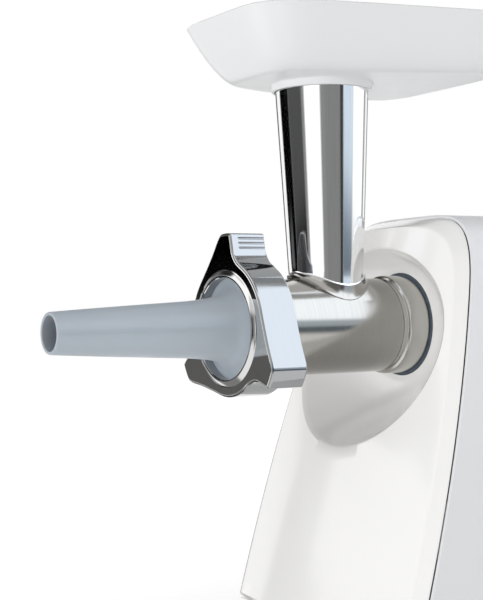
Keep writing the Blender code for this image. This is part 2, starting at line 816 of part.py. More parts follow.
def grinder_barrel():
    front, inner = BARREL_FRONT, BARREL_INNER
    profile = [(27.0, front), (27.0, 19.4), (BARREL_OUTER, 20.0), (BARREL_OUTER + 0.3, 93.6)]
    profile += [(24.2, 94.2), (24.2, 96.6), (COLLAR_RADIUS, COLLAR_DEPTH), (COLLAR_RADIUS, NECK_DEPTH)]
    profile += [(NECK_RADIUS, NECK_DEPTH), (NECK_RADIUS, BARREL_BACK), (20.0, BARREL_BACK)]
    profile += [(20.0, 113.2), (11.1, 113.2), (11.1, 108.0), (inner, 105.4), (inner, 13.4)]
    profile += [(24.8, 13.4), (24.8, front)]
    barrel = make("grinder_barrel", turned(profile, closed=True), satin_metal())
    lugs = bmesh.new()
    for angle in LUG_ANGLES:
        lug = sector(22.0, LUG_REACH, angle, LUG_HALF)
        join_rings(lugs, [placed(lug, LUG_FRONT, "y"), placed(lug, LUG_BACK, "y")])
    boolean(barrel, lugs, "UNION")
    throat = [(16.9, 5.0), (16.9, 40.0)]
    boolean(barrel, turned(throat, "z", (0.0, TUBE_DEPTH), 28))


def tube_radius(height):
    return TUBE_TOP_RADIUS - TUBE_TAPER * (TUBE_TOP - height)


def feed_tube():
    """A tapered tube whose lower end is scooped to sit on the barrel."""
    low = 12.0
    profile = [(tube_radius(low), low), (tube_radius(TUBE_TOP), TUBE_TOP)]
    profile += [(tube_radius(TUBE_TOP) - TUBE_WALL, TUBE_TOP), (tube_radius(low) - TUBE_WALL, low)]
    tube = make("feed_tube", turned(profile, "z", (0.0, TUBE_DEPTH), 36, closed=True), chrome())
    scoop = [(BARREL_OUTER + 0.3 + GAP, 20.0), (BARREL_OUTER + 0.3 + GAP, 110.0)]
    boolean(tube, turned(scoop, count=36))


def bezier(start, bend, end, steps):
    points = []
    for step in range(steps + 1):
        t = step / steps
        weights = ((1 - t) ** 2, 2 * t * (1 - t), t * t)
        points.append(tuple(sum(w * p[k] for w, p in zip(weights, (start, bend, end))) for k in (0, 1)))
    return points


def ring_nut_outline():
    """Three lobes on a round body, each with a long slope on one side and a steep flank on the other."""
    feet = []
    for angle in (SLOPE_FOOT, STEEP_FOOT):
        turn = math.radians(angle)
        feet.append((RING_RADIUS * math.sin(turn), RING_RADIUS * math.cos(turn)))
    lobe = bezier(STEEP_START, STEEP_BEND, feet[1], 4)[::-1]
    lobe += list(reversed(LOBE_TIP)) + bezier(feet[0], SLOPE_BEND, SLOPE_END, 5)[::-1]
    outline = []
    for middle in LOBE_ANGLES:
        turn = math.radians(middle)
        for across, out in lobe:
            x = out * math.cos(turn) - across * math.sin(turn)
            outline.append((x, out * math.sin(turn) + across * math.cos(turn)))
        for step in range(1, 4):
            angle = turn + math.radians(SLOPE_FOOT + (120.0 + STEEP_FOOT - SLOPE_FOOT) * step / 4)
            outline.append((RING_RADIUS * math.cos(angle), RING_RADIUS * math.sin(angle)))
    return outline


def ring_nut():
    loops = [ring_nut_outline(), circle(RING_MOUTH, ROUND)]
    nut = make("ring_nut", plate(loops, 0.0, RING_LENGTH), chrome())
    bead = [(RING_BEAD, 0.0), (RING_BEAD, 0.6), (RING_MOUTH, 0.6), (RING_MOUTH, -RING_PROUD)]
    bead += [(RING_MOUTH + 0.8, -RING_PROUD)]
    boolean(nut, turned(bead, closed=True), "UNION")
    boolean(nut, turned([(RING_THREAD, LIP_LENGTH), (RING_THREAD, 30.0)]))


def sausage_nozzle():
    """A flange held by the ring nut, a flared root and a long tapered tube."""
    outer = [(27.0, 8.0), (27.0, FLANGE_DEPTH), (24.0, FLANGE_DEPTH), (20.5, 2.6), (17.4, -1.5)]
    outer += [(15.4, -7.5), (14.2, -20.0), (11.5, -70.0), (10.0, NOZZLE_TIP)]
    inner = [(8.4, NOZZLE_TIP), (9.9, -70.0), (12.5, -20.0), (14.0, -6.0), (17.6, 2.0), (21.5, 8.0)]
    bm = turned(outer + inner, count=32, closed=True)
    make("sausage_nozzle", bm, nozzle_grey(), (0.0, FLANGE_DEPTH, 0.0))


def tray_ring(inset, height, slope=0.0):
    """A ring of the tray: a rounded oblong that widens towards the back."""
    points = []
    for step in range(ROUND):
        angle = math.tau * step / ROUND
        along = -power(math.cos(angle), 2 / TRAY_POWER)
        depth = TRAY_FRONT + TRAY_HALF_LENGTH + (TRAY_HALF_LENGTH - inset) * along
        half = TRAY_HALF_WIDTH + TRAY_SPREAD * depth - inset
        x = half * power(math.sin(angle), 2 / TRAY_POWER)
        points.append((x, depth, height + slope * max(0.0, depth - TUBE_DEPTH)))
    return points


def tray_circle(radius, height):
    points = []
    for step in range(ROUND):
        angle = math.tau * step / ROUND
        depth = TUBE_DEPTH - radius * math.cos(angle)
        points.append((radius * math.sin(angle), depth, height))
    return points


def tray_wall(share, wall):
    """A ring of the tray's wall, from the rim at share 0 to the foot of the wall at share 1."""
    depth = 1 - (1 - share) ** TRAY_CURVE
    height = TRAY_RIM - (TRAY_RIM - TRAY_FOOT - wall) * depth
    inset = wall * (1 - 0.5 * share) + TRAY_INSET * share
    return tray_ring(inset, height, TRAY_SLOPE * share)


def feed_tray():
    """A dished tray with a collar that sits over the feed tube."""
    outer = [tray_wall(share, 0.0) for share in (0.0, 0.35, 0.62, 0.82, 1.0)]
    socket = TUBE_TOP_RADIUS + 0.4
    top = TUBE_TOP + 0.4
    outer += [tray_circle(26.2, TRAY_FLOOR), tray_circle(26.2, COLLAR_BOTTOM)]
    outer += [tray_circle(socket, COLLAR_BOTTOM), tray_circle(socket, top)]
    inner = [tray_circle(TRAY_HOLE, top), tray_circle(TRAY_HOLE, TRAY_FLOOR + TRAY_WALL)]
    inner.append(tray_circle(PUSHER_FLANGE + 1.5, TRAY_FLOOR + TRAY_WALL))
    inner += [tray_wall(share, TRAY_WALL) for share in (1.0, 0.82, 0.62, 0.35, 0.0)]
    anchor = (0.0, TUBE_DEPTH, TUBE_TOP)
    make("feed_tray", rings_solid(outer + inner, closed=True), satin_white(), anchor)


def pusher():
    rest = TRAY_FLOOR + TRAY_WALL + GAP
    profile = [(14.5, 32.0), (16.4, 34.0), (16.4, rest), (PUSHER_FLANGE, rest)]
    profile += [(PUSHER_FLANGE, rest + 3.0)]
    profile += [(23.0, rest + 6.5), (15.0, rest + 9.0), (12.0, rest + 13.0), (13.5, rest + 20.0)]
    profile += [(11.0, rest + 23.5), (5.0, rest + 24.6)]
    bm = turned(profile, "z", (0.0, TUBE_DEPTH), 28)
    make("pusher", bm, satin_white(), (0.0, TUBE_DEPTH, rest))


# ---------------------------------------------------------------- controls and electrics


def side_button(name, height, radius, switch_name):
    """A button that is pressed inwards from the right, and the switch behind it."""
    centre = (PANEL_DEPTH, height)
    face = wall_reach(height) + 1.6
    profile = [(radius - 2.0, 61.0), (radius + 1.2, 61.2), (radius + 1.2, 63.4), (radius, 63.6)]
    profile += [(radius, face - 1.0), (radius - 0.8, face - 0.2), (radius - 4.0, face)]
    bm = turned(profile, "x", centre, 20)
    make(name, bm, satin_white(), (face, *centre))
    half = radius - 0.5
    corners = ((44.0, PANEL_DEPTH - 10.4, height - half), (57.5, PANEL_DEPTH + 10.4, height + half))
    make(switch_name, boxes(corners), dark_plastic())


def control_panel():
    """A bezel flush with the wall, on a flange behind it, with two ribs that hold the switches."""
    low, high = REVERSE_HEIGHT - 1.0, POWER_HEIGHT + 1.0
    bezel = plate([stadium(PANEL_DEPTH, low, high, 12.1)], 66.0, 70.0, "x")
    for vert in bezel.verts:
        if vert.co.x > 68.0:
            vert.co.x = wall_reach(vert.co.z) - 0.5
    panel = make("control_panel", bezel, dark_plastic())
    boolean(panel, plate([stadium(PANEL_DEPTH, low, high, 15.0)], 65.6, 68.6, "x"), "UNION")
    ribs = []
    for near, far in ((-14.2, -10.8), (10.8, 14.2)):
        ribs.append(((45.0, PANEL_DEPTH + near, low - 6.0), (66.8, PANEL_DEPTH + far, high + 6.0)))
    boolean(panel, boxes(*ribs), "UNION")
    holes = bmesh.new()
    for height, radius in ((POWER_HEIGHT, POWER_RADIUS), (REVERSE_HEIGHT, REVERSE_RADIUS)):
        ring = circle(radius + 0.5, 20, (PANEL_DEPTH, height))
        join_rings(holes, [placed(ring, x, "x") for x in (58.0, 95.0)])
    boolean(panel, holes)


def wall_reach(height):
    """How far out the rear shell's side wall stands at a height."""
    return half_width(height) + REAR_PROUD


def release_button():
    """The cap on the front shell, and behind it the lever that carries the lock pin."""
    centre = (RELEASE_X, RELEASE_Z)
    front = face_depth(RELEASE_X + 2.0, RELEASE_Z) - 2.2
    profile = [(RELEASE_RADIUS - 2.6, front), (RELEASE_RADIUS - 0.6, front + 0.6)]
    profile += [(RELEASE_RADIUS, front + 2.0), (RELEASE_RADIUS, 116.0)]
    anchor = (RELEASE_X, front, RELEASE_Z)
    make("release_button", turned(profile, "y", centre, 24), gloss_white(), anchor)


def latch_lever():
    """A bar behind the socket ring with the lock pin at its inner end and a stem under the button."""
    pin_x, pin_z = pin_place()
    run = (pin_x - RELEASE_X, pin_z - RELEASE_Z)
    length = math.hypot(*run)
    along = (run[0] / length, run[1] / length)
    across = (-along[1] * 3.0, along[0] * 3.0)
    outline = []
    for reach, sign in ((-4.0, -1), (length + 3.0, -1), (length + 3.0, 1), (-4.0, 1)):
        x = RELEASE_X + along[0] * reach + across[0] * sign
        outline.append((x, RELEASE_Z + along[1] * reach + across[1] * sign))
    bar = plate([outline], LEVER_FRONT, LEVER_BACK)
    lever = make("latch_lever", bar, steel(), (pin_x, LEVER_FRONT, pin_z))
    posts = bmesh.new()
    join_rings(posts, [placed(circle(1.8, 10, pin_place()), y, "y") for y in (124.0, 128.6)])
    centre = (RELEASE_X, RELEASE_Z)
    join_rings(posts, [placed(circle(3.0, 12, centre), y, "y") for y in (116.0 + GAP, 128.6)])
    boolean(lever, posts, "UNION")


def electrics():
    place = (-52.0, HOUSING_BOTTOM + 12.6)
    bm = turned([(8.5, 110.0), (9.0, 110.6), (9.0, 139.4), (8.5, 140.0)], centre=place, count=SMALL)
    make("suppression_capacitor", bm, dark_plastic())
    profile = [(3.8, 227.0), (8.0, 227.0), (8.0, 232.1), (5.8, 232.1), (5.8, 235.4), (8.6, 235.4)]
    profile += [(8.6, 236.6), (6.4, GLAND_BACK), (3.8, GLAND_BACK)]
    gland = turned(profile, centre=GLAND_PLACE, count=20, closed=True)
    make("cord_gland", gland, rubber())


# ---------------------------------------------------------------- assembly


def clear_scene():
    for item in list(bpy.data.objects):
        bpy.data.objects.remove(item)


def build():
    clear_scene()
    front_shell()
    rear_shell()
    base_plate()
    feet()
    base_screws()
    seal_ring()
    socket_ring()
    gear_case()
    gear_cover()
    output_bush()
    layshaft_pin()
    stator_core()
    field_coils()
    motor_bracket()
    rotor_bushes()
    brushes()
    rotor()
    cooling_fan()
    gears()
    output_shaft()
    auger()
    knife()
    perforated_disc()
    grinder_barrel()
    feed_tube()
    ring_nut()
    sausage_nozzle()
    feed_tray()
    pusher()
    side_button("power_button", POWER_HEIGHT, POWER_RADIUS, "power_switch")
    side_button("reverse_button", REVERSE_HEIGHT, REVERSE_RADIUS, "reverse_switch")
    control_panel()
    release_button()
    latch_lever()
    electrics()


build()
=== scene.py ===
import json
import math

import bmesh
import bpy
from mathutils import Matrix, Vector


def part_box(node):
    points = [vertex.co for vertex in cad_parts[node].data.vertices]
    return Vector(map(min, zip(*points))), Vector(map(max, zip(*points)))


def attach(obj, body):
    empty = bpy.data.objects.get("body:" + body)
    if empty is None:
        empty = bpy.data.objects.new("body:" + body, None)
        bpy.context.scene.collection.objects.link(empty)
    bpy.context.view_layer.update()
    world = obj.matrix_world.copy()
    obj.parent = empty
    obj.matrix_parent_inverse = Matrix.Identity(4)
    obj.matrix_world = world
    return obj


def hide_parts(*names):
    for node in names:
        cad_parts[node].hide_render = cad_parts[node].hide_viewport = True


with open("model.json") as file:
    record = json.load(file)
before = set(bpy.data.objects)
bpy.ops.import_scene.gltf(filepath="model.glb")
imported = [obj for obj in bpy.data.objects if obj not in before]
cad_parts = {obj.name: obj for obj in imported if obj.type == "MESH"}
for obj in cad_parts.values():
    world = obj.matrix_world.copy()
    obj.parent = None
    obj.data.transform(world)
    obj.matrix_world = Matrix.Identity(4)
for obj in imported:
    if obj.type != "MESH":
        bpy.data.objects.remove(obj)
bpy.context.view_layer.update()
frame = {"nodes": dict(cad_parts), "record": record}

MM = 0.001

# Ring nut's length without its bead
NUT_LENGTH = 20.0

# The drive axis and the ring nut's face, from the frame. Shapes are in millimetres from them.
AXIS = (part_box("perforated_disc")[0][2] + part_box("perforated_disc")[1][2]) / 2
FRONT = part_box("ring_nut")[1][1] - NUT_LENGTH * MM


# ---------------------------------------------------------------- mesh helpers


def point(x, y, z):
    return Vector((x * MM, FRONT + y * MM, AXIS + z * MM))


def make(name, verts, faces, surface, body, nodes=(), sharp=None):
    """A smooth-shaded piece from points in millimetres, which rides on a body and stands for nodes."""
    mesh = bpy.data.meshes.new(name)
    mesh.from_pydata([point(*v) for v in verts], [], faces)
    bm = bmesh.new()
    bm.from_mesh(mesh)
    bmesh.ops.remove_doubles(bm, verts=bm.verts, dist=1e-7)
    bmesh.ops.recalc_face_normals(bm, faces=bm.faces)
    if bm.calc_volume(signed=True) < 0:
        bmesh.ops.reverse_faces(bm, faces=bm.faces)
    bm.to_mesh(mesh)
    bm.free()
    mesh.shade_smooth()
    if sharp:
        mesh.set_sharp_from_angle(angle=math.radians(sharp))
    piece = bpy.data.objects.new(name, mesh)
    bpy.context.scene.collection.objects.link(piece)
    mesh.materials.append(surface)
    if body:
        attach(piece, body)
    if nodes:
        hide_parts(*nodes)
    return piece


def loft(rings, closed=False, loop=True):
    """Points and faces through rings. closed joins the last ring to the first, else the ends are capped."""
    count = len(rings[0])
    verts = [p for ring in rings for p in ring]
    faces = []
    pairs = list(range(len(rings) - 1)) + ([-1] if closed else [])
    for k in pairs:
        low, high = (k % len(rings)) * count, ((k + 1) % len(rings)) * count
        for i in range(count if loop else count - 1):
            j = (i + 1) % count
            faces.append((low + i, low + j, high + j, high + i))
    if not closed:
        faces.append(tuple(range(count)))
        faces.append(tuple(range(len(verts) - count, len(verts))))
    return verts, faces


def rounded(points, radius=0.5, steps=4, cyclic=False):
    """A line of (u, v) or (u, v, radius) points with each corner rounded."""
    count = len(points)
    out = []
    for i, here in enumerate(points):
        if not cyclic and i in (0, count - 1):
            out.append(Vector(here[:2]))
            continue
        corner = Vector(here[:2])
        to_last = Vector(points[i - 1][:2]) - corner
        to_next = Vector(points[(i + 1) % count][:2]) - corner
        reach = here[2] if len(here) > 2 else radius
        reach = min(reach, to_last.length * 0.48, to_next.length * 0.48)
        if reach < 1e-4:
            out.append(corner)
            continue
        start = corner + to_last.normalized() * reach
        end = corner + to_next.normalized() * reach
        for step in range(steps + 1):
            t = step / steps
            out.append(start * (1 - t) ** 2 + corner * 2 * t * (1 - t) + end * t * t)
    return [(p[0], p[1]) for p in out]


def spin(profile, axis="y", centre=(0.0, 0.0), count=96, closed=True):
    """Rings of a turned shape from (radius, along) points."""
    rings = []
    for radius, along in profile:
        ring = []
        for i in range(count):
            angle = math.tau * i / count
            u = centre[0] + radius * math.cos(angle)
            v = centre[1] + radius * math.sin(angle)
            ring.append(placed(u, v, along, axis))
        rings.append(ring)
    return loft(rings, closed)


def boolean(piece, cutter_data, operation="DIFFERENCE"):
    """Cuts a closed shape from a piece, or joins one on, and applies it."""
    name = piece.name + "_tool"
    cutter = make(name, *cutter_data, piece.data.materials[0], None)
    step = piece.modifiers.new("cut", "BOOLEAN")
    step.operation = operation
    step.solver = "EXACT"
    step.object = cutter
    bpy.context.view_layer.update()
    graph = bpy.context.evaluated_depsgraph_get()
    result = bpy.data.meshes.new_from_object(piece.evaluated_get(graph))
    piece.modifiers.clear()
    old = piece.data
    piece.data = result
    bpy.data.meshes.remove(old)
    bpy.data.objects.remove(cutter)


def joined(*parts):
    """Several (points, faces) shapes as one."""
    verts, faces = [], []
    for more_verts, more_faces in parts:
        start = len(verts)
        verts += more_verts
        faces += [tuple(start + i for i in face) for face in more_faces]
    return verts, faces


def placed(u, v, along, axis):
    """A point from two coordinates across an axis and one along it."""
    return {"x": (along, u, v), "y": (u, along, v), "z": (u, v, along)}[axis]


def prism(outline, low, high, axis):
    """A closed bar with a flat outline."""
    return loft([[placed(u, v, end, axis) for u, v in outline] for end in (low, high)])


def power(value, exponent):
    """A power that keeps the value's sign."""
    return math.copysign(abs(value) ** exponent, value)


# ---------------------------------------------------------------- materials


class Surface:
    """Builds one procedural material around a Principled shader."""

    def __init__(self, name, colour, roughness, metallic=0.0, **inputs):
        self.material = bpy.data.materials.new(name)
        self.material.use_nodes = True
        self.tree = self.material.node_tree
        self.shader = self.tree.nodes["Principled BSDF"]
        self.colour, self.roughness = colour, roughness
        self.set("Base Color", (*colour, 1.0))
        self.set("Roughness", roughness)
        self.set("Metallic", metallic)
        for key, value in inputs.items():
            self.set(key.replace("_", " "), value)
        self.place = self.tree.nodes.new("ShaderNodeTexCoord")
        self.bumps = None

    def set(self, socket, value):
        self.shader.inputs[socket].default_value = value

    def link(self, start, end):
        self.tree.links.new(start, end)

    def noise(self, scale, stretch=(1, 1, 1), detail=3.0):
        """A noise over the object's own coordinates, in cells per metre along each axis."""
        mapping = self.tree.nodes.new("ShaderNodeMapping")
        mapping.inputs["Scale"].default_value = stretch
        self.link(self.place.outputs["Object"], mapping.inputs["Vector"])
        texture = self.tree.nodes.new("ShaderNodeTexNoise")
        texture.inputs["Scale"].default_value = scale
        texture.inputs["Detail"].default_value = detail
        self.link(mapping.outputs["Vector"], texture.inputs["Vector"])
        return texture.outputs["Fac"]

    def ramp(self, value, low, high):
        """Maps a 0.3 to 0.7 signal onto low to high."""
        node = self.tree.nodes.new("ShaderNodeMapRange")
        node.inputs["From Min"].default_value = 0.3
        node.inputs["From Max"].default_value = 0.7
        node.inputs["To Min"].default_value = low
        node.inputs["To Max"].default_value = high
        self.link(value, node.inputs["Value"])
        return node.outputs["Result"]

    def vary_colour(self, value, other):
        """Blends the base colour towards another one by a noise."""
        node = self.tree.nodes.new("ShaderNodeMix")
        node.data_type = "RGBA"
        node.inputs["A"].default_value = (*self.colour, 1.0)
        node.inputs["B"].default_value = (*other, 1.0)
        self.link(self.ramp(value, 0.0, 1.0), node.inputs["Factor"])
        self.link(node.outputs["Result"], self.shader.inputs["Base Color"])
        return self

    def vary_roughness(self, value, low, high):
        self.link(self.ramp(value, low, high), self.shader.inputs["Roughness"])
        return self

    def bump(self, value, strength, distance):
        node = self.tree.nodes.new("ShaderNodeBump")
        node.inputs["Strength"].default_value = strength
        node.inputs["Distance"].default_value = distance
        self.link(value, node.inputs["Height"])
        if self.bumps:
            self.link(self.bumps, node.inputs["Normal"])
        self.bumps = node.outputs["Normal"]
        self.link(self.bumps, self.shader.inputs["Normal"])
        return self


def plastic(name, colour, roughness, grain, depth, tint=0.965, **inputs):
    """Moulded plastic: faint clouding, uneven gloss and a fine grain."""
    made = Surface(name, colour, roughness, **inputs)
    darker = tuple(c * tint for c in colour)
    made.vary_colour(made.noise(14.0, detail=4.0), darker)
    made.vary_roughness(made.noise(120.0), roughness * 0.85, roughness * 1.2)
    made.bump(made.noise(grain, detail=2.0), 0.25, depth)
    return made.material


def metal(name, colour, roughness, stretch, depth=2e-6, spread=0.25, tint=0.93):
    """Metal with fine lines drawn along one direction."""
    made = Surface(name, colour, roughness, 1.0)
    lines = made.noise(1.0, stretch, detail=4.0)
    made.vary_colour(lines, tuple(c * tint for c in colour))
    made.vary_roughness(lines, roughness * (1 - spread), roughness * (1 + spread))
    made.bump(lines, 0.3, depth)
    return made.material


def rubber(name, colour):
    made = Surface(name, colour, 0.6)
    made.vary_colour(made.noise(300.0), tuple(c * 1.5 for c in colour))
    made.bump(made.noise(1500.0), 0.4, 4e-5)
    return made.material


gloss_white = plastic(
    "gloss_white", (0.90, 0.894, 0.882), 0.16, 90.0, 4e-5, 0.985,
    Coat_Weight=0.3, Coat_Roughness=0.08,
)
rear_white = plastic("rear_white", (0.80, 0.81, 0.825), 0.42, 1800.0, 3e-5, 0.985)
tray_white = plastic("tray_white", (0.83, 0.84, 0.85), 0.35, 900.0, 2e-5, 0.985)
nozzle_blue = plastic(
    "nozzle_blue", (0.45, 0.505, 0.56), 0.38, 500.0, 3e-5, 0.94,
    Subsurface_Weight=0.15, Subsurface_Scale=0.004,
)
dark_moulding = plastic("dark_moulding", (0.06, 0.065, 0.07), 0.45, 1500.0, 3e-5, 0.8)
gear_white = plastic("gear_white", (0.70, 0.67, 0.58), 0.45, 700.0, 2e-5)
chrome_tube = metal("chrome_tube", (0.86, 0.865, 0.87), 0.09, (900, 900, 6), 1e-6)
# The ring nut is one polished metal. Its sides, bead and back get darker copies of the face's colour:
# painted shade standing in for their darker reflections.
nut_side_painted_shade = metal("nut_side_painted_shade", (0.33, 0.338, 0.346), 0.08, (30, 900, 30), 1e-7, 0.1, 0.98)
nut_bead_painted_shade = metal("nut_bead_painted_shade", (0.58, 0.58, 0.575), 0.1, (60, 60, 60), 1e-7, 0.1, 0.98)
nut_back_painted_shade = metal("nut_back_painted_shade", (0.15, 0.15, 0.155), 0.4, (300, 300, 300), 5e-6)
nut_face = metal("nut_face", (0.80, 0.79, 0.77), 0.07, (60, 60, 60), 1e-6)
# The barrel and its collar are one satin metal part. The collar's copy has a lighter colour, a painted
# sheen that makes it read brighter than the barrel.
barrel_satin = metal("barrel_satin", (0.40, 0.388, 0.364), 0.15, (30, 2600, 30), 2e-6)
collar_satin_painted_sheen = metal("collar_satin_painted_sheen", (0.50, 0.488, 0.46), 0.2, (30, 2600, 30), 2e-6)
cut_steel = metal("cut_steel", (0.56, 0.57, 0.58), 0.28, (900, 40, 900))
machine_steel = metal("machine_steel", (0.50, 0.51, 0.53), 0.35, (700, 700, 700))
brass = metal("brass", (0.72, 0.52, 0.22), 0.3, (600, 600, 600))
copper = metal("copper", (0.62, 0.27, 0.13), 0.38, (60, 1500, 1500))
seal_rubber = rubber("seal_rubber", (0.055, 0.07, 0.09))
foot_rubber = rubber("foot_rubber", (0.03, 0.03, 0.033))

SLOT_OF = {row["node"]: row["material_slot"] for row in frame["record"]["subparts"]}
LOOKS = {
    "gloss_white_shell": gloss_white, "grey_white_shell": rear_white, "satin_white": tray_white,
    "nozzle_plastic": nozzle_blue, "polished_metal": chrome_tube, "satin_metal": barrel_satin,
    "cutting_steel": cut_steel, "machine_steel": machine_steel, "bearing_brass": brass,
    "winding_copper": copper, "gear_plastic": gear_white, "dark_plastic": dark_moulding,
    "dark_rubber": foot_rubber,
}
for node_name, node in frame["nodes"].items():
    node.data.materials.clear()
    node.data.materials.append(LOOKS[SLOT_OF[node_name]])


# ---------------------------------------------------------------- housing

# Seam between the shells, their height, and the front face with its bulge
SEAM, LEAN = 100.0, 0.30
TOP, BOTTOM = 56.0, -152.0
FACE, BULGE = 84.0, 12.0
EDGE = 5.0
PROUD = 1.2
BACK, BACK_ROUND = 235.0, 18.0
BASE_HALF, WAIST, WAIST_START = 79.6, 13.4, 145.0
CROWN = 2 / 4.6

# The front shell's edge, as (inset from the outline, share of the way from the seam to the face)
CHAMFER = (
    (0.2, 0.12), (0.6, 0.24), (1.2, 0.36), (2.2, 0.54), (3.2, 0.72),
    (3.9, 0.85), (4.4, 0.93), (4.7, 0.97), (5.0, 1.0),
)

# Recess round the socket: half sizes, middle, floor and the hole in it
RECESS_X, RECESS_Z, RECESS_DROP = 57.5, 51.5, -11.0
RECESS_FLOOR, HOLE = 109.4, 27.5
SHELL_WALL = 2.5

# Places across the housing
RELEASE = (-43.7, 36.6)
BUTTON_DEPTH, POWER_Z, REVERSE_Z = 150.0, -46.0, -71.0
GLAND = (46.0, -136.0)
VENT_PITCH, VENT_LOW, VENT_HIGH = 11.0, -126.0, -88.0
BACK_CUT = (220.0, 245.0)


def half_width(z):
    """Half the housing's width at a height."""
    return BASE_HALF - WAIST * max(0.0, (z + WAIST_START) / WAIST_START) ** 2.2


def face_at(x, z):
    """Depth of the front face."""
    return FACE + LEAN * z + BULGE * (x / half_width(z)) ** 2


def outline(inset, sides=26, crown=64, base=40):
    """The housing seen from the front, from its lower right corner round to the base."""
    low = BOTTOM + inset
    heights = [low * (1 - k / sides) for k in range(sides)]
    right = [(half_width(z) - inset, z) for z in heights]
    for k in range(crown):
        angle = math.pi / 2 * k / crown
        z = (TOP - inset) * power(math.sin(angle), CROWN)
        right.append(((half_width(z) - inset) * power(math.cos(angle), CROWN), z))
    left = [(-x, z) for x, z in reversed(right)]
    floor = [(right[0][0] * (2 * k / base - 1), low) for k in range(1, base)]
    return right + [(0.0, TOP - inset)] + left + floor


def between(a, b, t):
    return tuple(p + (q - p) * t for p, q in zip(a, b))


def recess_angle(x, z):
    return math.atan2(z - RECESS_DROP, x)


def recess_edge(x, z, grow):
    """The point of the recess's rim that lies towards a point of the outline."""
    angle = recess_angle(x, z)
    across = (RECESS_X + grow) * math.cos(angle)
    return across, RECESS_DROP + (RECESS_Z + grow) * math.sin(angle)


def bowl(edge, hole, lip, floor, share):
    """A point of the recess's wall, at a share of the way from its rim to the hole."""
    x, z = between(edge, hole, share)
    return x, lip + (floor - lip) * (1 - (1 - share) ** 2.2), z


def front_shell():
    """A lofted skin: seam, chamfer, face, recess and back again along the inside of the wall."""
    rings = []
    for inset, back in ((2.2, 0.0), (0.6, 0.0), (0.0, 0.5)):
        rings.append([(x, SEAM + LEAN * z - 0.1 - back, z) for x, z in outline(inset)])
    for inset, rise in CHAMFER:
        ring = []
        for x, z in outline(inset):
            seam = SEAM + LEAN * z - 0.6
            ring.append((x, seam - (seam - face_at(x, z)) * rise, z))
        rings.append(ring)
    inner = outline(EDGE)
    for k in range(1, 13):
        ring = []
        for spot in inner:
            x, z = between(spot, recess_edge(*spot, 0.7), k / 12)
            ring.append((x, face_at(x, z), z))
        rings.append(ring)
    for k in range(1, 21):
        share = k / 20
        ring = []
        for spot in inner:
            edge = recess_edge(*spot, 0.0)
            angle = recess_angle(*spot)
            hole = (HOLE * math.cos(angle), HOLE * math.sin(angle))
            lip = face_at(*edge) + 0.35
            ring.append(bowl(edge, hole, lip, RECESS_FLOOR, share**1.5))
        rings.append(ring)
    for reach in (0.5, 2.4):
        grow = 1 + 0.006 * reach
        rings.append([(x * grow, RECESS_FLOOR + reach, z * grow) for x, _, z in rings[-1]])
    for k in range(6):
        ring = []
        for spot in inner:
            edge = recess_edge(*spot, SHELL_WALL)
            angle = recess_angle(*spot)
            hole = ((HOLE + 2.0) * math.cos(angle), (HOLE + 2.0) * math.sin(angle))
            lip = face_at(*edge) + SHELL_WALL
            ring.append(bowl(edge, hole, lip, RECESS_FLOOR + SHELL_WALL, 1 - k / 5))
        rings.append(ring)
    rings.append([(x, face_at(x, z) + 2.2, z) for x, z in outline(EDGE + 1.5)])
    shell = make("front_housing", *loft(rings, closed=True), gloss_white, "base", ["front_shell"])
    bore = [(0.01, 70.0), (8.0, 70.0), (8.0, 125.0), (0.01, 125.0)]
    boolean(shell, spin(bore, "y", RELEASE, 48, closed=False))
    smooth_by_angle(shell, 40)
    return shell


def smooth_by_angle(piece, degrees):
    piece.data.shade_smooth()
    piece.data.set_sharp_from_angle(angle=math.radians(degrees))


def arch(inset, sides=26, crown=64):
    """The housing's outline without its base, from the lower right to the lower left corner."""
    heights = [BOTTOM * (1 - k / sides) for k in range(sides)]
    right = [(half_width(z) - inset, z) for z in heights]
    for k in range(crown):
        angle = math.pi / 2 * k / crown
        z = (TOP - inset) * power(math.sin(angle), CROWN)
        right.append(((half_width(z) - inset) * power(math.cos(angle), CROWN), z))
    return right + [(0.0, TOP - inset)] + [(-x, z) for x, z in reversed(right)]


